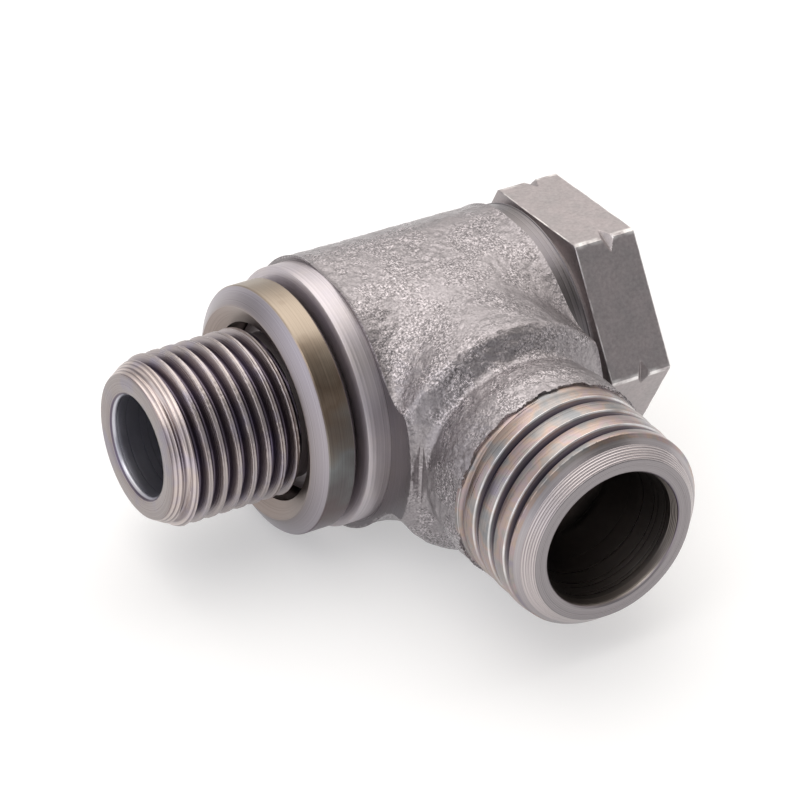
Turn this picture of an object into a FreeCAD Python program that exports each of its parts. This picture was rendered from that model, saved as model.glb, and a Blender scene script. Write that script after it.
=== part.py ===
import FreeCAD, Part
import math
import os

os.makedirs("parts", exist_ok=True)

# Banjo fitting for 6 mm tube, light series, with a G1/8 hollow bolt. Lengths are in mm.
# The origin lies on the bolt axis in the face of the port, at the sealing ring's front edge.
# +X runs from the port to the hex head, the branch leaves along -Y, +Z is up.

# Clearances between the pieces
RUNNING_CLEARANCE = 0.05
SEAT_GAP = 0.02
RING_REST_GAP = 0.02
CORD_GAP = 0.02

# Sealing ring between the port and the body
RING_OUTER_R = 7.18
RING_BORE_R = 5.15
RING_EDGE_R = 6.15
RING_WIDTH = 2.9
RING_RIM_WIDTH = 1.5
RING_BORE_WIDTH = 2.0
RING_BREAK = 0.1

# Forged body
BODY_WIDTH = 14.83
BRANCH_FROM_FRONT = 7.83
BARREL_FRONT_R = 7.92
BARREL_TAPER = 0.18
BARREL_DROP = 0.1
SHOULDER_BELOW_BARREL = 0.54
FLAT_ABOVE_SHOULDER = 0.45
SADDLE_ROUND = 0.9
SHOULDER_REACH = 9.3
SHOULDER_ROUND = 0.6
VALLEY_DEPTH = 1.25
VALLEY_PAST_SHOULDER = 0.8
NECK_ABOVE_VALLEY = 0.4
NECK_PAST_VALLEY = 1.0
NECK_TO_THREAD = 2.35
NECK_TAPER = 0.13
TRIM_HALF_WIDTH = 5.88
TRIM_PAST_SHOULDER = 0.4

# Faces and bands turned on the body
FRONT_BAND_DEPTH = 0.42
FRONT_BAND_WIDTH = 1.38
REAR_BAND_DEPTH = 0.32
REAR_BAND_WIDTH = 1.19
TOOL_REACH_R = 10.3
EDGE_BREAK = 0.12
BODY_BORE_R = 5.03
CHAMBER_R = 6.0
CHAMBER_WIDTH = 5.2
CHAMBER_WALL = 0.4

# Branch end for the tube, its nut and cutting ring
BRANCH_REACH = 19.85
BRANCH_THREAD_R = 5.97
BRANCH_FACE_R = 4.95
BRANCH_CHAMFER = 1.12
RUN_OUT = 0.25
CONE_MOUTH_R = 4.15
CONE_HALF_ANGLE = 12.0
MOUTH_BREAK = 0.12
SOCKET_R = 3.05
SOCKET_DEPTH = 7.0
BRANCH_BORE_R = 2.0

# Hollow bolt
STUD_REACH = 7.43
STUD_THREAD_R = 4.864
STUD_TIP_R = 4.1
STUD_CHAMFER = 1.32
THREAD_PAST_PORT = 0.1
RELIEF_R = 4.2
RELIEF_SLOPE = 0.5
RELIEF_WIDTH = 0.87
LAND_SLOPE = 0.4
WAIST_R = 3.9
WAIST_WIDTH = 5.8
CROSS_HOLE_R = 1.25
AXIAL_BORE_R = 2.9
AXIAL_MOUTH_R = 3.12
AXIAL_MOUTH_DEPTH = 0.2
AXIAL_PAST_BRANCH = 2.82
DRILL_HALF_ANGLE = 59.0
HEX_ACROSS_FLATS = 13.93
HEX_TURN = -4.07
HEAD_HEIGHT = 4.58
HEAD_SEAT_R = 6.7
HEAD_UNDERCUT_ANGLE = 26.0
CORNER_GROOVE_FROM_SEAT = 2.8
CORNER_GROOVE_DEPTH = 0.32

# O-ring in the bolt's rear land
CORD_R = 0.4
CORD_SIDES = 8
CORD_FROM_SEAT = 2.2
GROOVE_SIDE_GAP = 0.1

# Length by which a cutting tool runs past the face it leaves
OVERRUN = 1.0

body_front = RING_WIDTH + SEAT_GAP
body_rear = body_front + BODY_WIDTH
branch_x = body_front + BRANCH_FROM_FRONT
head_seat = body_rear + SEAT_GAP
barrel_rear_r = BARREL_FRONT_R - BARREL_TAPER
front_band_r = BARREL_FRONT_R - FRONT_BAND_DEPTH
rear_band_r = barrel_rear_r - REAR_BAND_DEPTH
shoulder_r = barrel_rear_r - SHOULDER_BELOW_BARREL
blank_front = min(body_front, branch_x - shoulder_r) - OVERRUN
blank_rear = max(body_rear, branch_x + shoulder_r) + OVERRUN
valley_reach = SHOULDER_REACH + VALLEY_PAST_SHOULDER
valley_r = shoulder_r - VALLEY_DEPTH
neck_r = valley_r + NECK_ABOVE_VALLEY
neck_start = valley_reach + NECK_PAST_VALLEY
neck_end = neck_start + NECK_TO_THREAD
thread_foot = neck_end + RUN_OUT
land_r = BODY_BORE_R - RUNNING_CLEARANCE
ring_hang = RING_BORE_R - land_r - RING_REST_GAP
cord_x = head_seat - CORD_FROM_SEAT
cord_centre_r = BODY_BORE_R - CORD_GAP - CORD_R
hex_corner_r = HEX_ACROSS_FLATS / 2 / math.cos(math.radians(30))

X = FreeCAD.Vector(1, 0, 0)
ORIGIN = FreeCAD.Vector(0, 0, 0)


def turned_x(points, height=0.0):
    """A solid turned about the X axis from (x, r) points, then raised by height."""
    outline = [FreeCAD.Vector(x, 0, r) for x, r in points]
    outline.append(outline[0])
    solid = Part.Face(Part.makePolygon(outline)).revolve(ORIGIN, X, 360)
    solid.translate(FreeCAD.Vector(0, 0, height))
    return solid


def turned_branch(points):
    """A solid turned about the branch axis from (reach, r) points."""
    outline = [FreeCAD.Vector(branch_x + r, -reach, 0) for reach, r in points]
    outline.append(outline[0])
    foot = FreeCAD.Vector(branch_x, 0, 0)
    return Part.Face(Part.makePolygon(outline)).revolve(foot, FreeCAD.Vector(0, 1, 0), 360)


def forged_barrel():
    """The barrel with its draft, and the flats that the die leaves above and below."""
    barrel = turned_x(
        [
            (blank_front, 0),
            (blank_front, BARREL_FRONT_R),
            (blank_rear, barrel_rear_r),
            (blank_rear, 0),
        ]
    )
    half_height = shoulder_r + FLAT_ABOVE_SHOULDER
    half_width = BARREL_FRONT_R + OVERRUN
    length = blank_rear - blank_front
    corner = FreeCAD.Vector(blank_front, -half_width, -half_height)
    barrel = barrel.common(Part.makeBox(length, 2 * half_width, 2 * half_height, corner))
    barrel.translate(FreeCAD.Vector(0, 0, -BARREL_DROP))
    return barrel


def forged_arm():
    """The shoulder with its rounded rim, the valley past it, and the neck up to the thread."""
    rim_reach = SHOULDER_REACH - SHOULDER_ROUND
    rim_r = shoulder_r - SHOULDER_ROUND
    points = [(0, 0), (0, shoulder_r)]
    for degrees in (90, 45, 0):
        angle = math.radians(degrees)
        along = rim_reach + SHOULDER_ROUND * math.cos(angle)
        points.append((along, rim_r + SHOULDER_ROUND * math.sin(angle)))
    points.append((valley_reach, valley_r))
    points.append((neck_start, neck_r))
    points.append((neck_end, neck_r - NECK_TAPER))
    points.append((thread_foot, BRANCH_THREAD_R - RUN_OUT))
    points.append((thread_foot, 0))
    return turned_branch(points)


def forged_blank():
    """Barrel and arm as they leave the die and the trimming tool, before any turning."""
    blank = forged_barrel().fuse(forged_arm())
    saddle = [
        edge
        for edge in blank.Edges
        if edge.BoundBox.YMax - edge.BoundBox.YMin > SADDLE_ROUND
        and edge.BoundBox.XMax - edge.BoundBox.XMin > shoulder_r
        and edge.BoundBox.ZMax - edge.BoundBox.ZMin > SADDLE_ROUND
    ]
    blank = blank.makeFillet(SADDLE_ROUND, saddle)
    trim_start = SHOULDER_REACH + TRIM_PAST_SHOULDER
    for side in (-1, 1):
        inner = branch_x + side * TRIM_HALF_WIDTH
        outer = branch_x + side * (shoulder_r + OVERRUN)
        corner = FreeCAD.Vector(min(inner, outer), -thread_foot - OVERRUN, -shoulder_r)
        depth = thread_foot + OVERRUN - trim_start
        flash = Part.makeBox(abs(outer - inner), depth, 2 * shoulder_r, corner)
        blank = blank.cut(flash)
    return blank


def banjo_body():
    """The forging with its faces, bands, cross bore, branch thread, cone and socket."""
    front_band_end = body_front + FRONT_BAND_WIDTH
    front = turned_x(
        [
            (body_front, 0),
            (body_front, front_band_r - EDGE_BREAK),
            (body_front + EDGE_BREAK, front_band_r),
            (front_band_end, front_band_r),
            (front_band_end, TOOL_REACH_R),
            (blank_front - OVERRUN, TOOL_REACH_R),
            (blank_front - OVERRUN, 0),
        ]
    )
    rear_band_start = body_rear - REAR_BAND_WIDTH
    rear = turned_x(
        [
            (body_rear, 0),
            (body_rear, rear_band_r - EDGE_BREAK),
            (body_rear - EDGE_BREAK, rear_band_r),
            (rear_band_start, rear_band_r),
            (rear_band_start, TOOL_REACH_R),
            (blank_rear + OVERRUN, TOOL_REACH_R),
            (blank_rear + OVERRUN, 0),
        ]
    )
    turned = forged_blank().cut([front, rear])

    spigot = turned_branch(
        [
            (SHOULDER_REACH, 0),
            (SHOULDER_REACH, SOCKET_R),
            (thread_foot, BRANCH_THREAD_R - RUN_OUT),
            (thread_foot + RUN_OUT, BRANCH_THREAD_R),
            (BRANCH_REACH - BRANCH_CHAMFER, BRANCH_THREAD_R),
            (BRANCH_REACH, BRANCH_FACE_R),
            (BRANCH_REACH, 0),
        ]
    )
    outside = turned.fuse(spigot)

    chamber_front = branch_x - CHAMBER_WIDTH / 2
    chamber_rear = branch_x + CHAMBER_WIDTH / 2
    bore = turned_x(
        [
            (body_front - OVERRUN, 0),
            (body_front - OVERRUN, BODY_BORE_R),
            (chamber_front, BODY_BORE_R),
            (chamber_front + CHAMBER_WALL, CHAMBER_R),
            (chamber_rear - CHAMBER_WALL, CHAMBER_R),
            (chamber_rear, BODY_BORE_R),
            (body_rear + OVERRUN, BODY_BORE_R),
            (body_rear + OVERRUN, 0),
        ]
    )
    cone_depth = (CONE_MOUTH_R - SOCKET_R) / math.tan(math.radians(CONE_HALF_ANGLE))
    tube_stop = BRANCH_REACH - SOCKET_DEPTH
    waterway = turned_branch(
        [
            (BODY_BORE_R - OVERRUN, 0),
            (BODY_BORE_R - OVERRUN, BRANCH_BORE_R),
            (tube_stop, BRANCH_BORE_R),
            (tube_stop, SOCKET_R),
            (BRANCH_REACH - MOUTH_BREAK - cone_depth, SOCKET_R),
            (BRANCH_REACH - MOUTH_BREAK, CONE_MOUTH_R),
            (BRANCH_REACH + OVERRUN, CONE_MOUTH_R + MOUTH_BREAK + OVERRUN),
            (BRANCH_REACH + OVERRUN, 0),
        ]
    )
    return outside.cut([bore, waterway])


def hex_head():
    """The hexagon with its coned underside and the small notch turned into its corners."""
    corners = []
    for index in range(7):
        angle = math.radians(HEX_TURN + 60 * index)
        across = hex_corner_r * math.cos(angle)
        up = hex_corner_r * math.sin(angle)
        corners.append(FreeCAD.Vector(head_seat, across, up))
    head = Part.Face(Part.makePolygon(corners)).extrude(X * HEAD_HEIGHT)
    wide = hex_corner_r + OVERRUN
    rise = (wide - HEAD_SEAT_R) * math.tan(math.radians(HEAD_UNDERCUT_ANGLE))
    undercut = turned_x(
        [
            (head_seat, HEAD_SEAT_R),
            (head_seat + rise, wide),
            (head_seat - OVERRUN, wide),
            (head_seat - OVERRUN, HEAD_SEAT_R),
        ]
    )
    groove_x = head_seat + CORNER_GROOVE_FROM_SEAT
    groove_r = hex_corner_r - CORNER_GROOVE_DEPTH
    flare = wide - groove_r
    groove = turned_x([(groove_x, groove_r), (groove_x + flare, wide), (groove_x - flare, wide)])
    return head.cut([undercut, groove])


def banjo_bolt():
    """The hollow bolt: stud, relief, two lands with the waist between them, and the head."""
    relief_start = THREAD_PAST_PORT + RELIEF_SLOPE
    land_start = relief_start + RELIEF_WIDTH
    waist_front = branch_x - WAIST_WIDTH / 2
    waist_rear = branch_x + WAIST_WIDTH / 2
    groove_half = CORD_R + GROOVE_SIDE_GAP
    groove_floor = cord_centre_r - CORD_R - CORD_GAP
    shank = turned_x(
        [
            (-STUD_REACH, 0),
            (-STUD_REACH, STUD_TIP_R),
            (-STUD_REACH + STUD_CHAMFER, STUD_THREAD_R),
            (THREAD_PAST_PORT, STUD_THREAD_R),
            (relief_start, RELIEF_R),
            (land_start, RELIEF_R),
            (land_start + LAND_SLOPE, land_r),
            (waist_front - LAND_SLOPE, land_r),
            (waist_front, WAIST_R),
            (waist_rear, WAIST_R),
            (waist_rear + LAND_SLOPE, land_r),
            (cord_x - groove_half, land_r),
            (cord_x - groove_half, groove_floor),
            (cord_x + groove_half, groove_floor),
            (cord_x + groove_half, land_r),
            (head_seat + HEAD_HEIGHT / 2, land_r),
            (head_seat + HEAD_HEIGHT / 2, 0),
        ]
    )
    bore_end = branch_x + AXIAL_PAST_BRANCH
    drill_point = AXIAL_BORE_R / math.tan(math.radians(DRILL_HALF_ANGLE))
    flare = (AXIAL_MOUTH_R - AXIAL_BORE_R) / AXIAL_MOUTH_DEPTH
    axial = turned_x(
        [
            (-STUD_REACH - OVERRUN, 0),
            (-STUD_REACH - OVERRUN, AXIAL_MOUTH_R + flare * OVERRUN),
            (-STUD_REACH + AXIAL_MOUTH_DEPTH, AXIAL_BORE_R),
            (bore_end, AXIAL_BORE_R),
            (bore_end + drill_point, 0),
        ]
    )
    cuts = [axial]
    for turn in (45, 135):
        angle = math.radians(turn)
        direction = FreeCAD.Vector(0, math.cos(angle), math.sin(angle))
        reach = WAIST_R + OVERRUN
        start = FreeCAD.Vector(branch_x, 0, 0) - direction * reach
        cuts.append(Part.makeCylinder(CROSS_HOLE_R, 2 * reach, start, direction))
    return shank.fuse(hex_head()).cut(cuts)


def port_seal_ring():
    """The sealing ring, its two faces raised to an edge, hanging by its bore clearance."""
    rim_start = (RING_WIDTH - RING_RIM_WIDTH) / 2
    rim_end = rim_start + RING_RIM_WIDTH
    bore_start = (RING_WIDTH - RING_BORE_WIDTH) / 2
    bore_end = bore_start + RING_BORE_WIDTH
    return turned_x(
        [
            (bore_start, RING_BORE_R),
            (0, RING_EDGE_R),
            (rim_start - RING_BREAK, RING_OUTER_R - RING_BREAK),
            (rim_start, RING_OUTER_R),
            (rim_end, RING_OUTER_R),
            (rim_end + RING_BREAK, RING_OUTER_R - RING_BREAK),
            (RING_WIDTH, RING_EDGE_R),
            (bore_end, RING_BORE_R),
        ],
        -ring_hang,
    )


def head_o_ring():
    """The rubber ring, its round cord drawn with a few flat sides."""
    points = []
    for index in range(CORD_SIDES):
        angle = 2 * math.pi * index / CORD_SIDES
        radius = cord_centre_r + CORD_R * math.cos(angle)
        points.append((cord_x + CORD_R * math.sin(angle), radius))
    return turned_x(points)


PIECES = {
    "banjo_body": banjo_body,
    "banjo_bolt": banjo_bolt,
    "port_seal_ring": port_seal_ring,
    "head_o_ring": head_o_ring,
}

for name, make in PIECES.items():
    shape = make().removeSplitter()
    shape.Solids[0].exportStep("parts/" + name + ".step")
    box = shape.optimalBoundingBox()
    print(name, shape.isValid(), len(shape.Solids), round(shape.Volume, 3))
    print("  from", round(box.XMin, 3), round(box.YMin, 3), round(box.ZMin, 3))
    print("  to", round(box.XMax, 3), round(box.YMax, 3), round(box.ZMax, 3))
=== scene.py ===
import math
from collections import namedtuple

import bmesh
import bpy
import numpy as np
from mathutils import Euler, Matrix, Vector


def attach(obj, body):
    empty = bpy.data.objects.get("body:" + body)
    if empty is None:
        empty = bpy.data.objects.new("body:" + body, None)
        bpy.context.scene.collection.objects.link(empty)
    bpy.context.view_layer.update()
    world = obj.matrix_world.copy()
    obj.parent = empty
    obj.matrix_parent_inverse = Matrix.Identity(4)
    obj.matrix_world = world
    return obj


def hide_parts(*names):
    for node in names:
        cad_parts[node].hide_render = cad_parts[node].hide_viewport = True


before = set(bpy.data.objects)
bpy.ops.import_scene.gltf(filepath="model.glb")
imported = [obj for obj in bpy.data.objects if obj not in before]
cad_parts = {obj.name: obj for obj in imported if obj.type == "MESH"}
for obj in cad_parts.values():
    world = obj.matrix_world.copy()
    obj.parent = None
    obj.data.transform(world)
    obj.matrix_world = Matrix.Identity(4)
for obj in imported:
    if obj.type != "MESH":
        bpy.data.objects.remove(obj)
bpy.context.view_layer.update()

# Lengths are in mm, in the part's own frame, and become metres when a mesh is made.
MM = 0.001

# The camera of the photograph: its place, its turn in degrees, and its focal length in pixels.
CAMERA_PLACE = (-103.75, -178.69, 139.02)
CAMERA_TURN = (56.241, -1.802, -31.164)
FOCAL_PIXELS = 4500.0
PICTURE_PIXELS = 800.0
SENSOR_WIDTH = 36.0
TABLE_Z = -7.75

# Body: places along the bolt's axis, and radii about it.
BRANCH_X = 10.75
BODY_FRONT = 2.92
BODY_REAR = 17.75
FRONT_STEP = 4.30
REAR_STEP = 16.56
FRONT_BAND_R = 7.5
REAR_BAND_R = 7.42
UNDER_SKIN_R = 7.2
BODY_BORE_R = 5.03
BORE_MOUTH_R = 5.21
CHAMBER_R = 6.0
CHAMBER_HALF = 2.2
CHAMBER_SLOPE = 0.4
CUT_R = 10.3

# Forging before it is turned.
BARREL_R = 7.92
BARREL_DROP = 0.1
BARREL_TAPER = 0.18
BARREL_START = 1.92
BARREL_LENGTH = 17.03
FLAT_HALF = 7.65
SADDLE = 1.05
FLAT_ROUND = 0.3
ARM_END = 13.68
TRIM_HALF_WIDTH = 5.88
TRIM_REACH = 9.7

# Bolt: stud, shank and hex head.
STUD_TIP = -7.43
STUD_R = 4.864
STUD_FACE_R = 4.1
STUD_PITCH = 0.907
STUD_SHIFT = -3.137 - 6 * STUD_PITCH
STUD_DEPTH = 0.575
STUD_BEVEL = 1.32
STUD_FEED = 0.218
STUD_BORE_R = 2.9
THREAD_END = 0.6
RELIEF_R = 4.2
LAND_R = 4.98
WAIST_R = 3.9
CROSS_HOLE_R = 1.25
HEAD_SEAT = 17.77
HEAD_END = 22.35
HEX_FLATS = 13.93
HEX_TURN = -4.07
COLLAR_R = 6.55
COLLAR = 0.6

# Branch: its reach, thread, cone, socket and bore.
BRANCH_START = 13.2
BRANCH_END = 19.85
BRANCH_R = 5.97
BRANCH_PITCH = 1.5
BRANCH_SHIFT = 18.82 - 8.27 * BRANCH_PITCH
BRANCH_DEPTH = 0.55
BRANCH_BEVEL = 1.12
BRANCH_FACE_R = 4.95
CONE_R = 4.15
CONE_HALF_ANGLE = 12
SOCKET_R = 3.05
SOCKET_DEPTH = 7.0
WATERWAY_R = 2.0

# Sealing ring: it hangs by its bore clearance.
RING_WIDTH = 2.9
RING_R = 7.18
RING_EDGE_R = 6.15
RING_BORE_R = 5.15
RING_DROP = 0.15

# Body, replaced node and slot of the pieces.
FORGED = ("fitting_body", "banjo_body", "forged_steel")
TURNED = ("hollow_bolt", "banjo_bolt", "turned_steel")
SEALING = ("seal_ring", "port_seal_ring", "passivated_steel")

SHARP_ANGLE = 28.0
NOISE_CELLS = 64


# Meshes

def sharp_by_angle(mesh, degrees):
    """Smooth shading with the edges above an angle kept sharp."""
    mesh.polygons.foreach_set("use_smooth", [True] * len(mesh.polygons))
    mesh.set_sharp_from_angle(angle=math.radians(degrees))


def place_object(name, data):
    obj = bpy.data.objects.new(name, data)
    bpy.context.scene.collection.objects.link(obj)
    return obj


def add_piece(name, points, faces, owner, materials, sharp=SHARP_ANGLE, which=None):
    """A piece of the dressed part, given to the body that owns it, with the node that it replaces
    hidden; the slot in owner is not used.
    """
    body, node, slot = owner
    mesh = bpy.data.meshes.new(name)
    mesh.from_pydata((np.asarray(points) * MM).tolist(), [], faces)
    for material in materials:
        mesh.materials.append(material)
    if which is not None:
        mesh.polygons.foreach_set("material_index", which)
    work = bmesh.new()
    work.from_mesh(mesh)
    bmesh.ops.recalc_face_normals(work, faces=work.faces)
    work.to_mesh(mesh)
    work.free()
    sharp_by_angle(mesh, sharp)
    obj = place_object(name, mesh)
    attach(obj, body)
    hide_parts(node)
    return obj


def weld(points, quads):
    """Joins the points that coincide, and drops the faces that this closes up."""
    places, index = np.unique(np.round(points, 5) + 0.0, axis=0, return_inverse=True)
    faces = []
    for face in index.reshape(-1)[quads].tolist():
        ring = [point for k, point in enumerate(face) if point != face[k - 1]]
        if len(ring) > 2 and len(set(ring)) == len(ring):
            faces.append(ring)
    return places, faces


def turned_rows(profile, step, columns):
    """Rows along a profile's straight runs, at most step apart, with its corners kept."""
    rows = []
    for (a, b), (c, d) in zip(profile, profile[1:]):
        count = max(1, math.ceil(math.hypot(c - a, d - b) / step))
        for k in range(count):
            rows.append((a + (c - a) * k / count, b + (d - b) * k / count))
    rows.append(profile[-1])
    rows = np.array(rows)
    return tuple(np.repeat(rows[:, k, None], columns + 1, axis=1) for k in (0, 1))


def thread_rows(start, end, pitch, shift, form, outer, columns):
    """Rows that follow a right-hand thread, held between two places and under an outer form."""
    phase, depth = np.array(form).T
    first = math.floor((start - shift) / pitch) - 1
    turns = np.arange(first, math.ceil((end - shift) / pitch) + 1)
    along = ((turns[:, None] + phase) * pitch + shift).reshape(-1, 1)
    depth = np.tile(depth, len(turns))[:, None]
    angle = np.linspace(0, 2 * math.pi, columns + 1)
    along = np.clip(along + pitch * angle / (2 * math.pi), start, end)
    return along, outer(along, angle, depth)


def lathe(parts, columns, place):
    """Points and faces of rows joined in order into a closed turned skin."""
    along = np.concatenate([part[0] for part in parts])
    radius = np.concatenate([part[1] for part in parts])
    angle = np.broadcast_to(np.linspace(0, 2 * math.pi, columns + 1), along.shape)
    rows = along.shape[0]
    i = np.arange(rows)[:, None]
    j = np.arange(columns)[None, :]
    low, high = i * (columns + 1), ((i + 1) % rows) * (columns + 1)
    quads = np.stack([low + j, low + j + 1, high + j + 1, high + j], axis=-1).reshape(-1, 4)
    return weld(place(along, angle, radius).reshape(-1, 3), quads)


def about_bolt(along, angle, radius):
    return np.stack([along, radius * np.cos(angle), radius * np.sin(angle)], axis=-1)


def about_branch(along, angle, radius):
    return np.stack([BRANCH_X + radius * np.cos(angle), -along, radius * np.sin(angle)], axis=-1)


def mirrored(form):
    """A thread form over one whole pitch from its half, which runs from crest to root."""
    return form + [(1 - phase, depth) for phase, depth in form[:0:-1]]


def ramp(value, start, end):
    """A soft step from 0 at start to 1 at end."""
    t = np.clip((value - start) / (end - start), 0, 1)
    return t * t * (3 - 2 * t)


def lattice_noise(points, cell, seed):
    """Smooth value noise between -1 and 1 on a lattice of the given cell."""
    table = np.random.default_rng(seed).uniform(-1, 1, [NOISE_CELLS] * 3).astype(np.float32)
    p = points / cell
    base = np.floor(p).astype(np.int64)
    t = p - base
    t = t * t * (3 - 2 * t)
    value = 0.0
    for dx in (0, 1):
        for dy in (0, 1):
            for dz in (0, 1):
                near = np.abs(1 - np.array([dx, dy, dz]) - t)
                weight = near[..., 0] * near[..., 1] * near[..., 2]
                index = (base + (dx, dy, dz)) % NOISE_CELLS
                value = value + weight * table[index[..., 0], index[..., 1], index[..., 2]]
    return value


def surface_net(field, low, step):
    """Quads on the zero surface of a sampled field that is negative inside."""
    inside = field < 0
    shape = np.array(field.shape) - 1
    total = np.zeros((*shape, 3), np.float32)
    count = np.zeros(shape, np.int32)
    crossings = []
    for axis in range(3):
        a = np.moveaxis(field, axis, 0)
        inner = np.moveaxis(inside, axis, 0)
        crossed = inner[:-1] != inner[1:]
        where = np.argwhere(crossed)
        a0 = a[:-1][crossed]
        a1 = a[1:][crossed]
        part = a0 / (a0 - a1)
        cell = np.empty_like(where)
        others = [k for k in range(3) if k != axis]
        cell[:, axis] = where[:, 0]
        cell[:, others[0]] = where[:, 1]
        cell[:, others[1]] = where[:, 2]
        place = cell.astype(np.float32)
        place[:, axis] += part
        for du in (0, 1):
            for dv in (0, 1):
                c = cell.copy()
                c[:, others[0]] -= du
                c[:, others[1]] -= dv
                np.add.at(total, tuple(c.T), place)
                np.add.at(count, tuple(c.T), 1)
        crossings.append((others, cell))
    used = count > 0
    index = np.full(shape, -1, np.int64)
    index[used] = np.arange(used.sum())
    points = total[used] / count[used][:, None] * step + low
    quads = []
    for (u, v), cell in crossings:
        ring = []
        for du, dv in ((0, 0), (1, 0), (1, 1), (0, 1)):
            c = cell.copy()
            c[:, u] -= du
            c[:, v] -= dv
            ring.append(index[tuple(c.T)])
        quads.append(np.stack(ring, axis=1))
    return points, np.concatenate(quads)


# Materials

def add_node(tree, kind, inputs, output=0, **settings):
    """A new node whose inputs are set or linked; gives back one of its outputs."""
    node = tree.nodes.new(kind)
    for name, value in settings.items():
        setattr(node, name, value)
    for name, value in inputs.items():
        if isinstance(value, bpy.types.NodeSocket):
            tree.links.new(value, node.inputs[name])
        else:
            node.inputs[name].default_value = value
    return node.outputs[output]


def colour_ramp(tree, factor, stops):
    """A colour ramp of (place, colour) stops."""
    node = tree.nodes.new("ShaderNodeValToRGB")
    elements = node.color_ramp.elements
    while len(elements) < len(stops):
        elements.new(0.5)
    for element, (place, colour) in zip(elements, stops):
        element.position = place
        element.color = (*colour, 1.0)
    tree.links.new(factor, node.inputs["Fac"])
    return node.outputs["Color"]


class Finish:
    """A material and the nodes that feed it; its coordinates are in mm."""

    def __init__(self, name, metallic=1.0):
        self.material = bpy.data.materials.new(name)
        self.material.use_nodes = True
        self.tree = self.material.node_tree
        self.shader = self.tree.nodes["Principled BSDF"]
        self.shader.inputs["Metallic"].default_value = metallic
        coords = self.node("ShaderNodeTexCoord", {}, "Object")
        scaled = {0: coords, "Scale": 1 / MM}
        self.place = self.node("ShaderNodeVectorMath", scaled, operation="SCALE")
        split = self.tree.nodes.new("ShaderNodeSeparateXYZ")
        self.tree.links.new(self.place, split.inputs[0])
        self.x, self.y, self.z = split.outputs

    def node(self, kind, inputs, output=0, **settings):
        return add_node(self.tree, kind, inputs, output, **settings)

    def maths(self, operation, a, b=0.0):
        return self.node("ShaderNodeMath", {0: a, 1: b}, operation=operation)

    def times(self, *factors):
        product = factors[0]
        for factor in factors[1:]:
            product = self.maths("MULTIPLY", product, factor)
        return product

    def radius(self, across, up):
        return self.maths("SQRT", self.maths("ADD", self.times(across, across), self.times(up, up)))

    def noise(self, scale, detail=2.0, roughness=0.5, line=None):
        """Noise in space, or along one value where a line is given."""
        inputs = {"Scale": scale, "Detail": detail, "Roughness": roughness}
        if line is None:
            return self.node("ShaderNodeTexNoise", {**inputs, "Vector": self.place})
        return self.node("ShaderNodeTexNoise", {**inputs, "W": line}, noise_dimensions="1D")

    def spread(self, value, low, high, from_low=0.3, from_high=0.7):
        """Low to high while the value runs over its own range; the usual one is a noise's."""
        span = {"Value": value, "From Min": from_low, "From Max": from_high}
        return self.node("ShaderNodeMapRange", {**span, "To Min": low, "To Max": high})

    def ramp(self, factor, stops):
        return colour_ramp(self.tree, factor, stops)

    def mix(self, factor, a, b, blend="MIX"):
        inputs = {0: factor, 6: a, 7: b}
        return self.node("ShaderNodeMix", inputs, 2, data_type="RGBA", blend_type=blend)

    def tint(self, colour, tone):
        return self.mix(1.0, colour, tone, "MULTIPLY")

    def bump(self, height, strength, distance, below=None):
        inputs = {"Height": height, "Strength": strength, "Distance": distance * MM}
        if below is not None:
            inputs["Normal"] = below
        return self.node("ShaderNodeBump", inputs)

    def finish(self, colour, roughness, normal):
        for name, socket in (("Base Color", colour), ("Roughness", roughness), ("Normal", normal)):
            self.tree.links.new(socket, self.shader.inputs[name])
        return self.material


def grey(level):
    """The plate's own grey, a little towards violet."""
    return (level * 1.04, level * 0.965, level * 0.995)


def forged_zinc():
    """Zinc plate over a forged skin: matt grey areas, and rough ones whose grains glint."""
    m = Finish("forged_zinc")
    grain = m.noise(8.0, 4.0, 0.62)
    zone = m.spread(m.noise(0.45, 3.0, 0.6), 0.0, 1.0, 0.42, 0.58)
    rough = m.ramp(grain, [(0.32, grey(0.12)), (0.5, grey(0.32)), (0.68, grey(0.7))])
    matt = m.ramp(grain, [(0.3, grey(0.25)), (0.7, grey(0.4))])
    colour = m.mix(zone, matt, rough)
    pits = m.spread(m.noise(1.9, 4.0, 0.7), 0.55, 1.0, 0.26, 0.4)
    colour = m.tint(colour, m.node("ShaderNodeCombineColor", {0: pits, 1: pits, 2: pits}))
    coarse = m.bump(m.noise(2.6, 3.0, 0.6), 0.25, 0.08)
    fine = m.bump(grain, m.spread(zone, 0.55, 1.0, 0.0, 1.0), 0.06, coarse)
    return m.finish(colour, m.spread(zone, 0.34, 0.25, 0.0, 1.0), fine)


# A thread's marks and its painted light. Its face and bevel_end are places along its axis, the names in
# _r are radii.
# Painted groove shade grows over groove below the surface, bore is the flat colour painted inside bore_r
# in place of its light and shade, and edge places the painted crest highlight.
# Feed lines lie within reach of the face and outside lines_r, and fade below lines_up.
Thread = namedtuple(
    "Thread", "face bevel_end face_r crest_r groove bore_r bore stain_r feed reach lines_r lines_up edge"
)
# Heights in mm over which the painted groove shade and the painted crest highlight fade out towards the
# bottom.
PAINTED_LIGHT_FADE_UP = (-4.5, 1.0)


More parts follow.
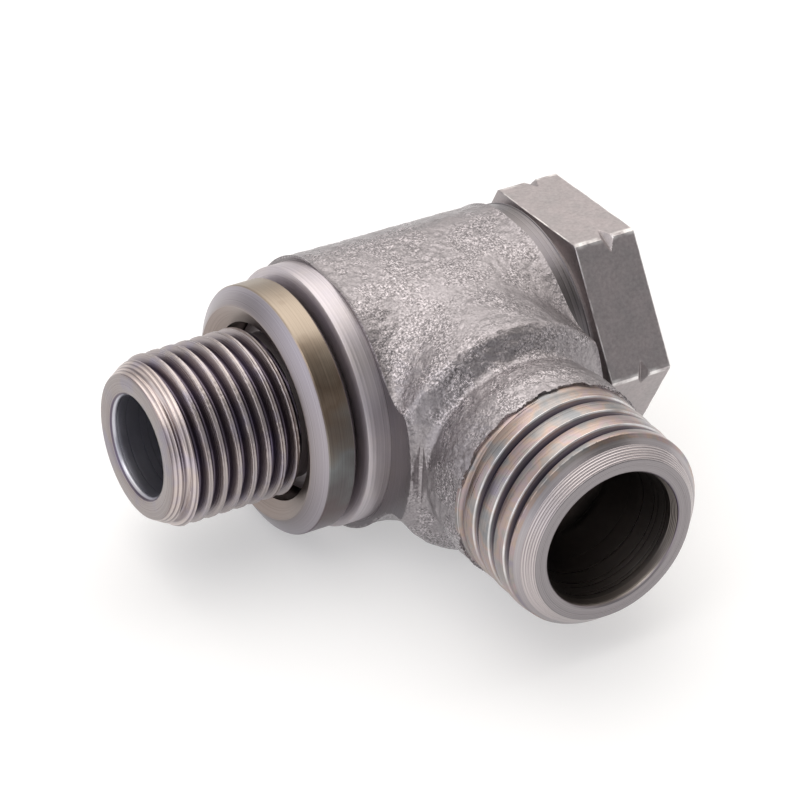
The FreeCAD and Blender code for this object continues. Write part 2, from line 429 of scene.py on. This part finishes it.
def crest_edge_highlight(m, thread, along, across, up, radius):
    """How far a place is on the front edge of a crest, where a highlight is painted that is strongest
    high up.
    """
    pitch, shift, place = thread.edge
    turn = m.maths("DIVIDE", m.maths("ARCTAN2", up, across), 2 * math.pi)
    turns = m.maths("DIVIDE", m.maths("SUBTRACT", m.times(along, -1.0), shift), pitch)
    phase = m.maths("FRACT", m.maths("SUBTRACT", turns, turn))
    off = m.maths("ABSOLUTE", m.maths("SUBTRACT", phase, place))
    on_thread = m.spread(radius, 0.0, 1.0, thread.crest_r - 0.2, thread.crest_r - 0.1)
    uneven = m.spread(m.noise(0.6, 3.0), 0.25, 1.0)
    line = m.spread(off, 1.0, 0.0, 0.012, 0.034)
    return m.times(line, uneven, m.spread(up, 0.1, 1.0, *PAINTED_LIGHT_FADE_UP), on_thread)


def thread_marks_and_painted_light(m, thread, along, across, up, radius, colour, normal):
    """Painted shade in the grooves and on the end face, painted highlights on the crest edges, a flat
    colour painted in the bore in place of its light and shade, and feed lines on the bevel.
    """
    surface = m.spread(along, thread.face_r, thread.crest_r, thread.face, thread.bevel_end)
    # Painted shade: the grooves darken towards violet grey with depth below the thread's surface.
    below = m.spread(m.maths("SUBTRACT", surface, radius), 0.0, 1.0, 0.05, thread.groove)
    shade = m.ramp(below, [(0.0, (1, 1, 1)), (1.0, (0.3, 0.28, 0.36))])
    past_face = m.spread(along, 0.0, 1.0, thread.face + 0.02, thread.face + 0.05)
    # On the branch the painted groove shade fades out towards the bottom.
    if thread.edge is not None:
        shade = m.mix(m.spread(up, 0.3, 1.0, *PAINTED_LIGHT_FADE_UP), (0.9, 0.88, 0.88, 1.0), shade)
    # Painted shade on the end face, which is darkened to 0.7; the groove shade starts just past it.
    colour = m.tint(colour, m.mix(past_face, (0.7, 0.7, 0.7, 1.0), shade))
    # Painted highlight: a near-white line on the front edges of the crests.
    if thread.edge is not None:
        bright = m.times(crest_edge_highlight(m, thread, along, across, up, radius), past_face)
        colour = m.mix(bright, colour, (0.98, 0.97, 0.97, 1.0))
    # Painted light and shade in the bore: a flat colour stands in for them, dark in the branch and pale
    # blue grey in the stud.
    inside = m.spread(radius, 1.0, 0.0, thread.bore_r - 0.02, thread.bore_r + 0.02)
    colour = m.mix(inside, colour, (*thread.bore, 1.0))
    reach = thread.face + thread.reach
    bevel = m.times(
        past_face,
        m.spread(along, 1.0, 0.0, reach - 0.05, reach),
        m.spread(radius, 0.0, 1.0, thread.lines_r - 0.05, thread.lines_r),
    )
    colour = m.mix(bevel, colour, m.tint(colour, (1.4, 1.38, 1.34, 1.0)))
    bevel = m.times(bevel, m.spread(up, 0.12, 1.0, thread.lines_up, thread.lines_up + 4.0))
    wave = m.maths("SINE", m.times(along, 2 * math.pi / thread.feed))
    line = m.times(m.spread(wave, 0.0, 1.0, -0.2, 0.9), bevel)
    colour = m.mix(line, colour, m.tint(colour, (0.5, 0.48, 0.5, 1.0)))
    return colour, m.bump(m.times(wave, bevel), 0.8, 0.02, normal)


def cut_lines(m, along, radius, scale):
    """Fine noise along a cut, on faces and on cylinders alike."""
    return m.noise(scale, 2.0, 0.6, m.maths("ADD", along, m.times(radius, 1.37)))


def turned_zinc(name, light, dark, tints, axes="xyz", centre=0.0, matt=0.0, thread=None):
    """Zinc plate on turned steel; axes names the axis of the turning, then those across and up."""
    m = Finish(name)
    along, across, up = (getattr(m, axis) for axis in axes)
    across = m.maths("SUBTRACT", across, centre)
    radius = m.radius(across, up)
    lines = cut_lines(m, along, radius, 9.0)
    colour = m.ramp(lines, [(0.32, dark), (0.68, light)])
    stain = 1.0
    if thread is not None and thread.stain_r is not None:
        stain = m.spread(radius, 0.0, 1.0, thread.stain_r - 0.05, thread.stain_r)
    colour = m.mix(stain, colour, m.ramp(m.noise(0.45, 3.0, 0.6), tints), "MULTIPLY")
    normal = m.bump(lines, 0.45, 0.012, m.bump(m.noise(3.2, 3.0, 0.6), 0.2, 0.03))
    if thread is not None:
        colour, normal = thread_marks_and_painted_light(m, thread, along, across, up, radius, colour, normal)
    return m.finish(colour, m.spread(lines, 0.27 + matt, 0.38 + matt), normal)


# Rim colours by height: passivation tints, and painted light, dark at the bottom and lighter and golden
# at the top.
RIM_TINTS_AND_PAINTED_LIGHT = [
    (0.05, (0.15, 0.12, 0.15)),
    (0.28, (0.13, 0.1, 0.1)),
    (0.42, (0.14, 0.13, 0.13)),
    (0.56, (0.21, 0.22, 0.22)),
    (0.68, (0.22, 0.19, 0.16)),
    (0.78, (0.2, 0.15, 0.11)),
    (0.95, (0.36, 0.3, 0.24)),
]
FACE_TINTS = [
    (0.2, (0.27, 0.225, 0.205)),
    (0.47, (0.31, 0.26, 0.24)),
    (0.56, (0.3, 0.27, 0.28)),
    (0.9, (0.38, 0.35, 0.38)),
]


def ring_finish():
    """Passivated steel ring: on its rim, tints that change with height, with painted light that makes it
    darker below and lighter above; on its faces, tints that change with radius.
    """
    m = Finish("ring_passivated")
    radius = m.radius(m.y, m.maths("ADD", m.z, RING_DROP))
    lines = cut_lines(m, m.x, radius, 10.0)
    # Height picks the rim's tint and its painted light.
    height = m.maths("ADD", m.z, m.spread(m.noise(0.5, 2.0), -1.2, 1.2))
    rim = m.ramp(m.spread(height, 0.0, 1.0, -7.5, 7.5), RIM_TINTS_AND_PAINTED_LIGHT)
    face = m.ramp(m.spread(radius, 0.0, 1.0, 5.1, 7.2), FACE_TINTS)
    colour = m.mix(m.spread(radius, 0.0, 1.0, RING_R - 0.08, RING_R - 0.02), face, rim)
    colour = m.tint(colour, m.ramp(lines, [(0.3, (0.84, 0.84, 0.84)), (0.7, (1.1, 1.1, 1.1))]))
    return m.finish(colour, m.spread(lines, 0.28, 0.4), m.bump(lines, 0.4, 0.012))


def hex_finish():
    """Plated bar stock: fine matt grain, and bright edges that are partly wear and partly painted
    highlight.
    """
    m = Finish("hex_zinc")
    grain = m.noise(5.0, 4.0, 0.65)
    cloud = m.noise(0.7, 3.0, 0.6)
    colour = m.ramp(grain, [(0.3, grey(0.33)), (0.7, grey(0.44))])
    colour = m.tint(colour, m.ramp(cloud, [(0.35, (0.92, 0.92, 0.9)), (0.65, (1.03, 1.0, 0.98))]))
    # Bright edges, partly wear and partly painted highlight: the hex corners and thin stripes at the
    # collar's end and the head's end, broken by noise.
    rim = m.spread(m.radius(m.y, m.z), 0.0, 1.0, 7.9, 7.97)
    collar_end = HEAD_SEAT + COLLAR
    for low, high in ((collar_end + 0.045, collar_end + 0.11), (HEAD_END - 0.07, HEAD_END - 0.005)):
        past_low = m.spread(m.x, 0.0, 1.0, low - 0.004, low)
        worn_highlight_stripe = m.times(past_low, m.spread(m.x, 1.0, 0.0, high - 0.004, high))
        rim = m.maths("MAXIMUM", rim, worn_highlight_stripe)
    worn = m.times(rim, m.spread(m.noise(1.1, 3.0), 0.0, 1.0, 0.35, 0.6))
    colour = m.mix(worn, colour, (0.85, 0.83, 0.82, 1.0))
    normal = m.bump(grain, 0.35, 0.03, m.bump(cloud, 0.3, 0.08))
    return m.finish(colour, m.spread(grain, 0.38, 0.46), normal)


def rubber():
    m = Finish("nitrile_rubber", 0.0)
    grain = m.noise(2.5)
    colour = m.ramp(grain, [(0.3, (0.012, 0.012, 0.013)), (0.7, (0.025, 0.025, 0.027))])
    return m.finish(colour, m.spread(grain, 0.42, 0.55), m.bump(grain, 0.3, 0.02))


PLAIN = [(0.35, (0.95, 0.95, 0.98)), (0.65, (1.0, 0.99, 0.97))]
CLOUDY = [
    (0.32, (0.9, 0.88, 0.97)),
    (0.45, (1.0, 0.95, 0.9)),
    (0.58, (1.02, 0.98, 0.94)),
    (0.7, (0.92, 0.9, 0.98)),
]
TEMPERED = [
    (0.34, (0.66, 0.72, 0.72)),
    (0.42, (0.84, 0.83, 0.78)),
    (0.48, (1.04, 0.87, 0.72)),
    (0.54, (0.98, 0.84, 0.84)),
    (0.6, (0.86, 0.86, 0.78)),
    (0.67, (0.76, 0.74, 0.82)),
]
# Painted light: the stud's bore is painted pale blue grey and the branch's bore dark, and only the
# branch has the crest highlight.
STUD_MARKS_AND_PAINTED_LIGHT = Thread(
    face=STUD_TIP, bevel_end=STUD_TIP + STUD_BEVEL, face_r=STUD_FACE_R, crest_r=STUD_R,
    groove=STUD_DEPTH * 0.8, bore_r=3.0, bore=(0.55, 0.55, 0.6), stain_r=None,
    feed=STUD_FEED, reach=STUD_BEVEL, lines_r=3.3, lines_up=-12.0, edge=None,
)
BRANCH_MARKS_AND_PAINTED_LIGHT = Thread(
    face=-BRANCH_END, bevel_end=-BRANCH_END + BRANCH_BEVEL, face_r=BRANCH_FACE_R, crest_r=BRANCH_R,
    groove=BRANCH_DEPTH * 0.8, bore_r=4.16, bore=(0.22, 0.2, 0.19), stain_r=5.8,
    feed=0.107, reach=0.66, lines_r=3.0, lines_up=-3.0, edge=(BRANCH_PITCH, BRANCH_SHIFT, 0.315),
)

forged = forged_zinc()
light_zinc = turned_zinc("turned_zinc_light", grey(0.6), grey(0.47), PLAIN, matt=0.14)
# A darker copy of the turned zinc: painted shade on the core's rear band and on the forging's cut step
# faces.
shaded_zinc = turned_zinc("turned_zinc_painted_shade", grey(0.24), grey(0.19), PLAIN)
stud_zinc = turned_zinc("thread_zinc_bolt", grey(0.46), grey(0.34), CLOUDY, thread=STUD_MARKS_AND_PAINTED_LIGHT)
branch_zinc = turned_zinc(
    "thread_zinc_branch", grey(0.42), grey(0.33), TEMPERED, "yxz", BRANCH_X, thread=BRANCH_MARKS_AND_PAINTED_LIGHT
)
ring_zinc = ring_finish()
hex_zinc = hex_finish()
seal_rubber = rubber()


# The forging: barrel, shoulder and neck blended as one rough skin, open where it is turned

def blend_min(a, b, reach):
    """The lesser of two fields, with the corner between them rounded."""
    h = np.maximum(reach - np.abs(a - b), 0) / reach
    return np.minimum(a, b) - h * h * reach / 4


def rounded_profile(corners, width):
    """A fine table of a profile given by its corners, rounded over a width."""
    places, values = np.array(corners).T
    fine = np.arange(places[0], places[-1], 0.02)
    spread = np.linspace(-width / 2, width / 2, 15)[:, None]
    return fine, np.interp(fine + spread, places, values).mean(axis=0)


# The arm's radius by its reach: shoulder, slope down to the valley, and neck.
ARM_CORNERS = [(-3.0, 7.25), (8.85, 7.3), (9.4, 6.7), (10.05, 5.86), (12.0, 6.22), (15.0, 6.14)]
ARM_REACH, ARM_R = rounded_profile(ARM_CORNERS, 0.55)

# Grain of the forged skin: height, cell and seed.
GRAIN = [(0.034, 0.28, 3), (0.024, 0.8, 5), (0.035, 2.6, 9)]
GRAIN_SINK = 0.08


def forged_form(points):
    """The forging before it is turned, negative inside."""
    x, y, z = points[..., 0], points[..., 1], points[..., 2]
    u, reach = x - BRANCH_X, -y
    barrel_r = BARREL_R - BARREL_TAPER * (x - BARREL_START) / BARREL_LENGTH
    barrel = np.hypot(y, z + BARREL_DROP) - barrel_r
    turn = np.arctan2(z, u)
    jag = 0.07 * np.sin(7 * turn + 0.7) + 0.06 * np.sin(17 * turn) + 0.04 * np.sin(31 * turn + 2)
    arm = 0.8 * (np.hypot(u, z) - np.interp(reach, ARM_REACH, ARM_R))
    arm = np.maximum(np.maximum(arm, reach - ARM_END - jag), -reach)
    skin = blend_min(barrel, arm, SADDLE)
    skin = -blend_min(-skin, FLAT_HALF - np.abs(z + BARREL_DROP), FLAT_ROUND)
    return np.maximum(skin, np.minimum(np.abs(u) - TRIM_HALF_WIDTH, reach - TRIM_REACH))


def forging_field(points):
    """The forged skin with its turned ends cut off and both axes hollowed, negative inside."""
    x, y, z = points[..., 0], points[..., 1], points[..., 2]
    around_bolt = np.hypot(y, z)
    skin = forged_form(points)
    skin = np.maximum(skin, np.minimum(FRONT_STEP - x, CUT_R - around_bolt))
    skin = np.maximum(skin, np.minimum(x - REAR_STEP, CUT_R - around_bolt))
    skin = np.maximum(skin, 6.8 - around_bolt)
    return np.maximum(skin, np.where(y < 0, 5.2 - np.hypot(x - BRANCH_X, z), -9.0))


def gradient_of(field, points):
    small = 0.02
    offsets = np.eye(3) * small
    return np.stack([(field(points + d) - field(points - d)) / (2 * small) for d in offsets], axis=-1)


def forging():
    step = 0.1
    low = np.array([3.7, -14.4, -8.5])
    high = np.array([17.4, 8.4, 8.3])
    axes = [np.arange(a, b, step) for a, b in zip(low, high)]
    lattice = np.stack(np.meshgrid(*axes, indexing="ij"), axis=-1).astype(np.float32)
    points, quads = surface_net(forging_field(lattice), low, step)
    for _ in range(2):
        slope = gradient_of(forging_field, points)
        size = np.maximum((slope**2).sum(-1), 0.25)
        points = points - 0.8 * (forging_field(points) / size)[:, None] * slope
    normal = slope / np.maximum(np.linalg.norm(slope, axis=-1), 0.2)[:, None]

    # The cut edges are drawn onto the planes of the steps.
    near = np.hypot(points[:, 1], points[:, 2]) < CUT_R
    away = np.minimum(points[:, 0] - FRONT_STEP, REAR_STEP - points[:, 0])
    edge = near & (away < 0.6 * step) & (np.abs(forged_form(points)) < 0.6 * step)
    for _ in range(2):
        slope = gradient_of(forged_form, points[edge]) * (0, 1, 1)
        size = np.maximum((slope**2).sum(-1), 0.25)
        points[edge] -= (forged_form(points[edge]) / size)[:, None] * slope
    points[edge, 0] = np.where(points[edge, 0] < BRANCH_X, FRONT_STEP, REAR_STEP)

    rough = np.where(near, ramp(away, 0.01, 0.25), 1.0)
    grain = sum(tall * lattice_noise(points, cell, seed) for tall, cell, seed in GRAIN)
    points = points + normal * ((grain - GRAIN_SINK) * rough)[:, None]
    # The cut step faces take the darker copy of the turned zinc, as painted shade.
    cut = near & (away < 0.02)
    which = cut[quads].all(axis=1).astype(np.int32)
    return add_piece("forging_skin", points, quads.tolist(), FORGED, [forged, shaded_zinc], 38.0, which)


forging()


# The turned core: front and rear faces and bands, cross bore and chamber

def drill(target, place, direction, radius, length):
    """Cuts a round hole that starts at place and runs for length along direction."""
    bpy.ops.mesh.primitive_cylinder_add(vertices=64, radius=radius * MM, depth=length * MM)
    tool = bpy.context.active_object
    tool.rotation_mode = "QUATERNION"
    tool.rotation_quaternion = Vector(direction).to_track_quat("Z", "Y")
    tool.location = (Vector(place) + Vector(direction).normalized() * length / 2) * MM
    cut = target.modifiers.new("drill", "BOOLEAN")
    cut.operation = "DIFFERENCE"
    cut.solver = "EXACT"
    cut.object = tool
    graph = bpy.context.evaluated_depsgraph_get()
    made = bpy.data.meshes.new_from_object(target.evaluated_get(graph))
    target.modifiers.clear()
    target.data = made
    sharp_by_angle(made, SHARP_ANGLE)
    bpy.data.objects.remove(tool)


def turned_core():
    columns = 256
    chamber_end = CHAMBER_HALF + CHAMBER_SLOPE
    profile = [
        (BODY_FRONT, BORE_MOUTH_R),
        (BODY_FRONT, FRONT_BAND_R - 0.1),
        (BODY_FRONT + 0.03, FRONT_BAND_R - 0.03),
        (BODY_FRONT + 0.1, FRONT_BAND_R),
        (FRONT_STEP + 0.1, FRONT_BAND_R),
        (FRONT_STEP + 0.1, UNDER_SKIN_R),
        (REAR_STEP - 0.1, UNDER_SKIN_R),
        (REAR_STEP - 0.1, REAR_BAND_R - 0.05),
        (BODY_REAR - 0.14, REAR_BAND_R - 0.05),
        (BODY_REAR - 0.1, REAR_BAND_R),
        (BODY_REAR - 0.06, REAR_BAND_R),
        (BODY_REAR, REAR_BAND_R - 0.08),
        (BODY_REAR, BORE_MOUTH_R),
        (BODY_REAR - 0.18, BODY_BORE_R),
        (BRANCH_X + chamber_end, BODY_BORE_R),
        (BRANCH_X + CHAMBER_HALF, CHAMBER_R),
        (BRANCH_X - CHAMBER_HALF, CHAMBER_R),
        (BRANCH_X - chamber_end, BODY_BORE_R),
        (BODY_FRONT + 0.18, BODY_BORE_R),
    ]
    points, faces = lathe([turned_rows(profile, 0.6, columns)], columns, about_bolt)
    middle = np.array([points[face, 0].mean() for face in faces])
    # The rear band beside the hex head takes the darker copy of the turned zinc, as painted shade.
    shaded_rear_band = (middle > REAR_STEP - 0.2) & (middle < BODY_REAR - 0.05)
    finishes = [light_zinc, shaded_zinc]
    core = add_piece("turned_core", points, faces, FORGED, finishes, which=shaded_rear_band.astype(np.int32))
    drill(core, (BRANCH_X, -9.0, 0), (0, 1, 0), WATERWAY_R, 5.0)


turned_core()


# The branch: M12x1.5 thread, bevel, end face, 24 degree cone, socket and bore

def branch():
    columns = 480
    start, end = BRANCH_START, BRANCH_END
    cone_end = end - 0.12 - (CONE_R - SOCKET_R) / math.tan(math.radians(CONE_HALF_ANGLE))
    socket_end = end - SOCKET_DEPTH
    bore_r, bore_start, core_r = WATERWAY_R - 0.01, 6.6, 5.38

    # Half a pitch: a crowned crest, its broken edge, a steep flank and the root.
    crest, edge, root, floor = 0.32, 0.075, 0.46, BRANCH_DEPTH
    form = [(p, 0.5 * p * p) for p in np.arange(0, 0.31, 0.02)] + [(0.31, 0.053), (crest, edge)]
    flank = np.linspace(crest, root, 9)[1:]
    form += [(p, edge + (floor - edge) * (p - crest) / (root - crest)) for p in flank]
    form.append((0.5, floor + 0.015))

    def outer(along, angle, depth):
        bevel = BRANCH_FACE_R + (end - along) * (BRANCH_R - BRANCH_FACE_R) / BRANCH_BEVEL
        foot = 5.42 + (along - start) * 3.6
        depth = depth * ramp(along, 13.75, 14.15)
        return np.minimum(np.minimum(bevel, foot), BRANCH_R - depth)

    thread = (BRANCH_PITCH, BRANCH_SHIFT, mirrored(form), outer, columns)
    outside = thread_rows(start, end - 0.02, *thread)
    inside = [
        (end, BRANCH_FACE_R - 0.02),
        (end, CONE_R + 0.15),
        (end - 0.03, CONE_R + 0.07),
        (end - 0.12, CONE_R),
        (cone_end, SOCKET_R),
        (socket_end, SOCKET_R),
        (socket_end, WATERWAY_R + 0.12),
        (socket_end - 0.12, bore_r),
        (bore_start, bore_r),
        (bore_start, core_r),
        (start - 0.02, core_r),
    ]
    points, faces = lathe([outside, turned_rows(inside, 0.25, columns)], columns, about_branch)
    add_piece("branch_thread", points, faces, FORGED, [branch_zinc], 40.0)


branch()


# The bolt: G1/8 stud, shank with its lands and cross holes, hex head

def stud():
    columns = 400
    tip, depth = STUD_TIP, STUD_DEPTH

    # Half a pitch: a crest with a raised edge, a flank and a rounded root.
    form = [(0.0, 0.02), (0.04, 0.016), (0.08, 0.002), (0.1, 0.0), (0.12, 0.008), (0.14, 0.035)]
    flank = np.linspace(0.14, 0.4, 8)[1:]
    form += [(p, 0.035 + (depth - 0.075) * (p - 0.14) / 0.26) for p in flank]
    form += [(0.43, depth - 0.018), (0.465, depth - 0.003), (0.5, depth)]

    def outer(along, angle, depth):
        bevel = STUD_FACE_R + (along - tip) * (STUD_R - STUD_FACE_R) / STUD_BEVEL
        lines = 0.014 * np.sin(2 * math.pi * along / STUD_FEED)
        bevel = np.where(along > tip + 0.12, bevel - lines, bevel)
        runout = RELIEF_R + (THREAD_END - along) * 1.33
        around = np.broadcast_arrays(along, STUD_R * np.cos(angle), STUD_R * np.sin(angle))
        worn = 0.022 * np.clip(lattice_noise(np.stack(around, axis=-1), 0.17, 21), 0, 1)
        return np.minimum(np.minimum(bevel, runout), STUD_R - depth - worn * (depth < 0.03))

    thread = (STUD_PITCH, STUD_SHIFT, mirrored(form), outer, columns)
    outside = thread_rows(tip + 0.04, THREAD_END, *thread)
    inside = [
        (THREAD_END, RELIEF_R - 0.01),
        (THREAD_END, STUD_BORE_R),
        (tip + 0.28, STUD_BORE_R),
        (tip + 0.2, STUD_BORE_R + 0.03),
        (tip + 0.03, STUD_BORE_R + 0.2),
        (tip, STUD_BORE_R + 0.25),
        (tip, STUD_FACE_R - 0.07),
        (tip + 0.01, STUD_FACE_R - 0.02),
    ]
    points, faces = lathe([outside, turned_rows(inside, 0.5, columns)], columns, about_bolt)
    add_piece("bolt_stud", points, faces, TURNED, [stud_zinc], 40.0)


def shank():
    columns = 144
    start, relief_end, front_land = 0.55, 1.47, 1.87
    waist_half, land_step = 2.9, 3.3
    groove_low, groove_high, groove_r = 15.07, 16.07, 4.19
    bore_end, bore_tip = 13.57, 15.31
    head_overlap = HEAD_SEAT + 0.5
    profile = [
        (start, STUD_BORE_R),
        (start, RELIEF_R),
        (relief_end, RELIEF_R),
        (front_land, LAND_R),
        (BRANCH_X - land_step, LAND_R),
        (BRANCH_X - waist_half, WAIST_R),
        (BRANCH_X + waist_half, WAIST_R),
        (BRANCH_X + land_step, LAND_R),
        (groove_low, LAND_R),
        (groove_low, groove_r),
        (groove_high, groove_r),
        (groove_high, LAND_R),
        (head_overlap, LAND_R),
        (head_overlap, 0.0),
        (bore_tip, 0.0),
        (bore_end, STUD_BORE_R),
    ]
    points, faces = lathe([turned_rows(profile, 0.8, columns)], columns, about_bolt)
    piece = add_piece("bolt_shank", points, faces, TURNED, [light_zinc])
    for turn in (45, 135, 225, 315):
        angle = math.radians(turn)
        direction = (0, math.cos(angle), math.sin(angle))
        inner_end = (BRANCH_X, direction[1] * 1.6, direction[2] * 1.6)
        drill(piece, inner_end, direction, CROSS_HOLE_R, 4.0)


def head():
    columns = 720
    chamfer, end_chamfer, corner, centre_r = 0.12, 0.03, 0.04, 0.01
    under_slope, notch_place, notch_r, notch_slope = 0.03, 20.57, 7.62, 0.95
    angle = np.linspace(0, 2 * math.pi, columns + 1)
    off = np.mod(angle, math.pi / 3) - math.pi / 6
    hexagon = np.minimum(HEX_FLATS / 2 / np.cos(off), HEX_FLATS / math.sqrt(3) - corner)
    collar_end = HEAD_SEAT + COLLAR
    under = collar_end + (hexagon - COLLAR_R) * under_slope
    one = np.ones(columns + 1)
    rows = [(HEAD_SEAT * one, centre_r * one), (HEAD_SEAT * one, (COLLAR_R - chamfer) * one)]
    rows += [((HEAD_SEAT + chamfer) * one, COLLAR_R * one), (collar_end * one, COLLAR_R * one)]
    for part in (0.5, 0.97):
        rows.append((collar_end + (under - collar_end) * part, COLLAR_R + (hexagon - COLLAR_R) * part))
    wall = np.linspace(0, 1, 64)[:, None]
    wall_start = under + end_chamfer
    along = wall_start + (HEAD_END - end_chamfer - wall_start) * wall
    notched = np.minimum(hexagon, notch_r + np.abs(along - notch_place) * notch_slope)
    rows += list(zip(along, notched))
    rows += [(HEAD_END * one, hexagon - end_chamfer), (HEAD_END * one, centre_r * one)]
    along, radius = (np.array([row[k] for row in rows]) for k in (0, 1))

    def place(along, angle, radius):
        return about_bolt(along, angle + math.radians(HEX_TURN), radius)

    points, faces = lathe([(along, radius)], columns, place)
    add_piece("bolt_head", points, faces, TURNED, [hex_zinc], 20.0)


stud()
shank()
head()


# The sealing ring and the O-ring

def seal_ring():
    columns = 360
    half = [
        (0.45, RING_BORE_R),
        (0.02, RING_EDGE_R - 0.06),
        (0.0, RING_EDGE_R),
        (0.02, RING_EDGE_R + 0.06),
        (0.58, RING_R - 0.13),
        (0.62, RING_R - 0.05),
        (0.7, RING_R),
    ]
    profile = half + [(RING_WIDTH - x, r) for x, r in half[::-1]]

    def place(along, angle, radius):
        return about_bolt(along, angle, radius) - (0, 0, RING_DROP)

    points, faces = lathe([turned_rows(profile, 0.3, columns)], columns, place)
    add_piece("seal_ring", points, faces, SEALING, [ring_zinc], 24.0)


seal_ring()

o_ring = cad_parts["head_o_ring"]
o_ring.data.materials.clear()
o_ring.data.materials.append(seal_rubber)


# Floor, world, lamps and camera

FLOOR_HALF = 1.2
FLOOR_TONE = 0.62
FLOOR_GLOW = 0.4

# The sky: brightness by the direction's share of the tilt.
SKY_TILT = (0.3, 0.28, 1.0)
SKY_LEVELS = [(0.0, 0.28), (0.1, 0.27), (0.23, 0.29), (0.36, 0.42), (0.69, 0.52), (0.88, 1.0)]
PANEL_COLOUR = (0.86, 0.86, 0.9, 1.0)
SCREEN_DIRECTION = (0.42, -0.47, 0.78)
OPEN_STRENGTH = 1.52
SCREEN_STRENGTH = 0.25

# Lamps: place in mm, side in metres, watts and colour.
LAMPS = {
    "key": ((-160, -60, 260), 0.16, 0.13, (1.0, 0.985, 0.96)),
    "top": ((60, 120, 300), 0.3, 0.2, (0.98, 0.99, 1.0)),
}
LAMP_AIM = (10, -4, 0)


def white_table():
    """A pale floor that also glows for what looks at it straight, by reflection or through glass."""
    material = bpy.data.materials.new("white_table")
    material.use_nodes = True
    tree = material.node_tree
    shader = tree.nodes["Principled BSDF"]
    shader.inputs["Base Color"].default_value = (FLOOR_TONE, FLOOR_TONE, FLOOR_TONE, 1)
    shader.inputs["Roughness"].default_value = 0.8
    path = tree.nodes.new("ShaderNodeLightPath")
    seen = path.outputs["Is Camera Ray"]
    for name in ("Is Glossy Ray", "Is Transmission Ray"):
        seen = add_node(tree, "ShaderNodeMath", {0: seen, 1: path.outputs[name]}, operation="MAXIMUM")
    level = add_node(tree, "ShaderNodeMath", {0: seen, 1: FLOOR_GLOW}, operation="MULTIPLY")
    glow = add_node(tree, "ShaderNodeEmission", {"Strength": level})
    both = add_node(tree, "ShaderNodeAddShader", {0: shader.outputs["BSDF"], 1: glow})
    tree.links.new(both, tree.nodes["Material Output"].inputs["Surface"])
    return material


def studio_world():
    """A soft studio: bright above and behind, a dark screen high in front, a pale panel on the left."""
    world = bpy.data.worlds.new("studio")
    bpy.context.scene.world = world
    world.use_nodes = True
    tree = world.node_tree
    background = tree.nodes["Background"]
    way = add_node(tree, "ShaderNodeTexCoord", {}, "Generated")

    def share(direction):
        return add_node(
            tree, "ShaderNodeVectorMath", {0: way, 1: direction}, "Value", operation="DOT_PRODUCT"
        )

    def soft_step(value, start, end, low, high):
        span = {"Value": value, "From Min": start, "From Max": end, "To Min": low, "To Max": high}
        return add_node(tree, "ShaderNodeMapRange", span, interpolation_type="SMOOTHSTEP")

    stops = [(at, (v, v * (1.0 - 0.05 * at), v * (1.05 - 0.16 * at))) for at, v in SKY_LEVELS]
    sky = colour_ramp(tree, share(SKY_TILT), stops)
    left = add_node(tree, "ShaderNodeSeparateXYZ", {0: way}, "X")
    panel = soft_step(left, -0.6, -0.92, 0.0, 1.0)
    lit = add_node(tree, "ShaderNodeMix", {0: panel, 6: sky, 7: PANEL_COLOUR}, 2, data_type="RGBA")
    strength = soft_step(share(SCREEN_DIRECTION), 0.86, 0.97, OPEN_STRENGTH, SCREEN_STRENGTH)
    tree.links.new(lit, background.inputs["Color"])
    tree.links.new(strength, background.inputs["Strength"])


def floor():
    half = FLOOR_HALF
    corners = [(-half, -half), (half, -half), (half, half), (-half, half)]
    mesh = bpy.data.meshes.new("floor")
    mesh.from_pydata([(x, y, TABLE_Z * MM) for x, y in corners], [], [(0, 1, 2, 3)])
    mesh.materials.append(white_table())
    place_object("floor", mesh)


def lamps():
    for name, (place, size, power, tint) in LAMPS.items():
        lamp = bpy.data.lights.new(name, "AREA")
        lamp.shape = "SQUARE"
        lamp.size = size
        lamp.energy = power
        lamp.color = tint
        holder = place_object(name, lamp)
        holder.location = Vector(place) * MM
        aim = Vector(LAMP_AIM) * MM - holder.location
        holder.rotation_mode = "QUATERNION"
        holder.rotation_quaternion = aim.to_track_quat("-Z", "Y")


def photo_camera():
    data = bpy.data.cameras.new("camera")
    data.sensor_width = SENSOR_WIDTH
    data.lens = SENSOR_WIDTH * FOCAL_PIXELS / PICTURE_PIXELS
    data.clip_start = 0.01
    data.clip_end = 10.0
    camera = place_object("camera", data)
    camera.location = Vector(CAMERA_PLACE) * MM
    camera.rotation_euler = Euler([math.radians(a) for a in CAMERA_TURN], "XYZ")
    bpy.context.scene.camera = camera
    bpy.context.scene.view_settings.view_transform = "Standard"


floor()
studio_world()
lamps()
photo_camera()
